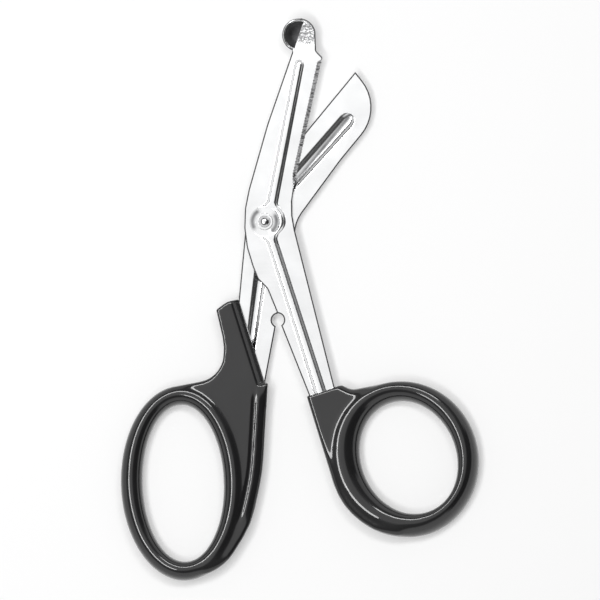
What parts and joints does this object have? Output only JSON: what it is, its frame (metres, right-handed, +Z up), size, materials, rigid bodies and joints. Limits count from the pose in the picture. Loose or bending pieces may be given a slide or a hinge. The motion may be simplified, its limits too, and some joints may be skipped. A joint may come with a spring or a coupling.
{
  "type": "utility scissors",
  "caption": "Bent utility scissors with pressed steel blades, a finely serrated edge, a blunt safety foot, and black moulded handles with finger and thumb loops, lying half open.",
  "frame": {"origin": "centre of the part's outline on the plane it lies on, halfway along and across, with the scissors half open", "axes": "+Y from the loops towards the safety foot, +Z up from the surface that it lies on, through the rivet's axis direction, with the serrated blade on top; +X towards the plain blade's tip"},
  "size_m": [0.1202, 0.1886, 0.009],
  "materials": {
    "steel": "satin",
    "rivet_steel": "polished",
    "black_plastic": "gloss"
  },
  "bodies": {
    "finger_side": {"plain_blade": "steel", "finger_handle": "black_plastic", "pivot_rivet": "rivet_steel", "rivet_washer": "steel"},
    "thumb_side": {"serrated_blade": "steel", "thumb_handle": "black_plastic"}
  },
  "joints": [
    {"name": "pivot", "type": "hinge", "parent": "finger_side", "child": "thumb_side", "pos_m": [-0.01189, 0.02619, 0.0045], "axis": [0, 0, 1], "range_deg": [-12, 145]}
  ]
}
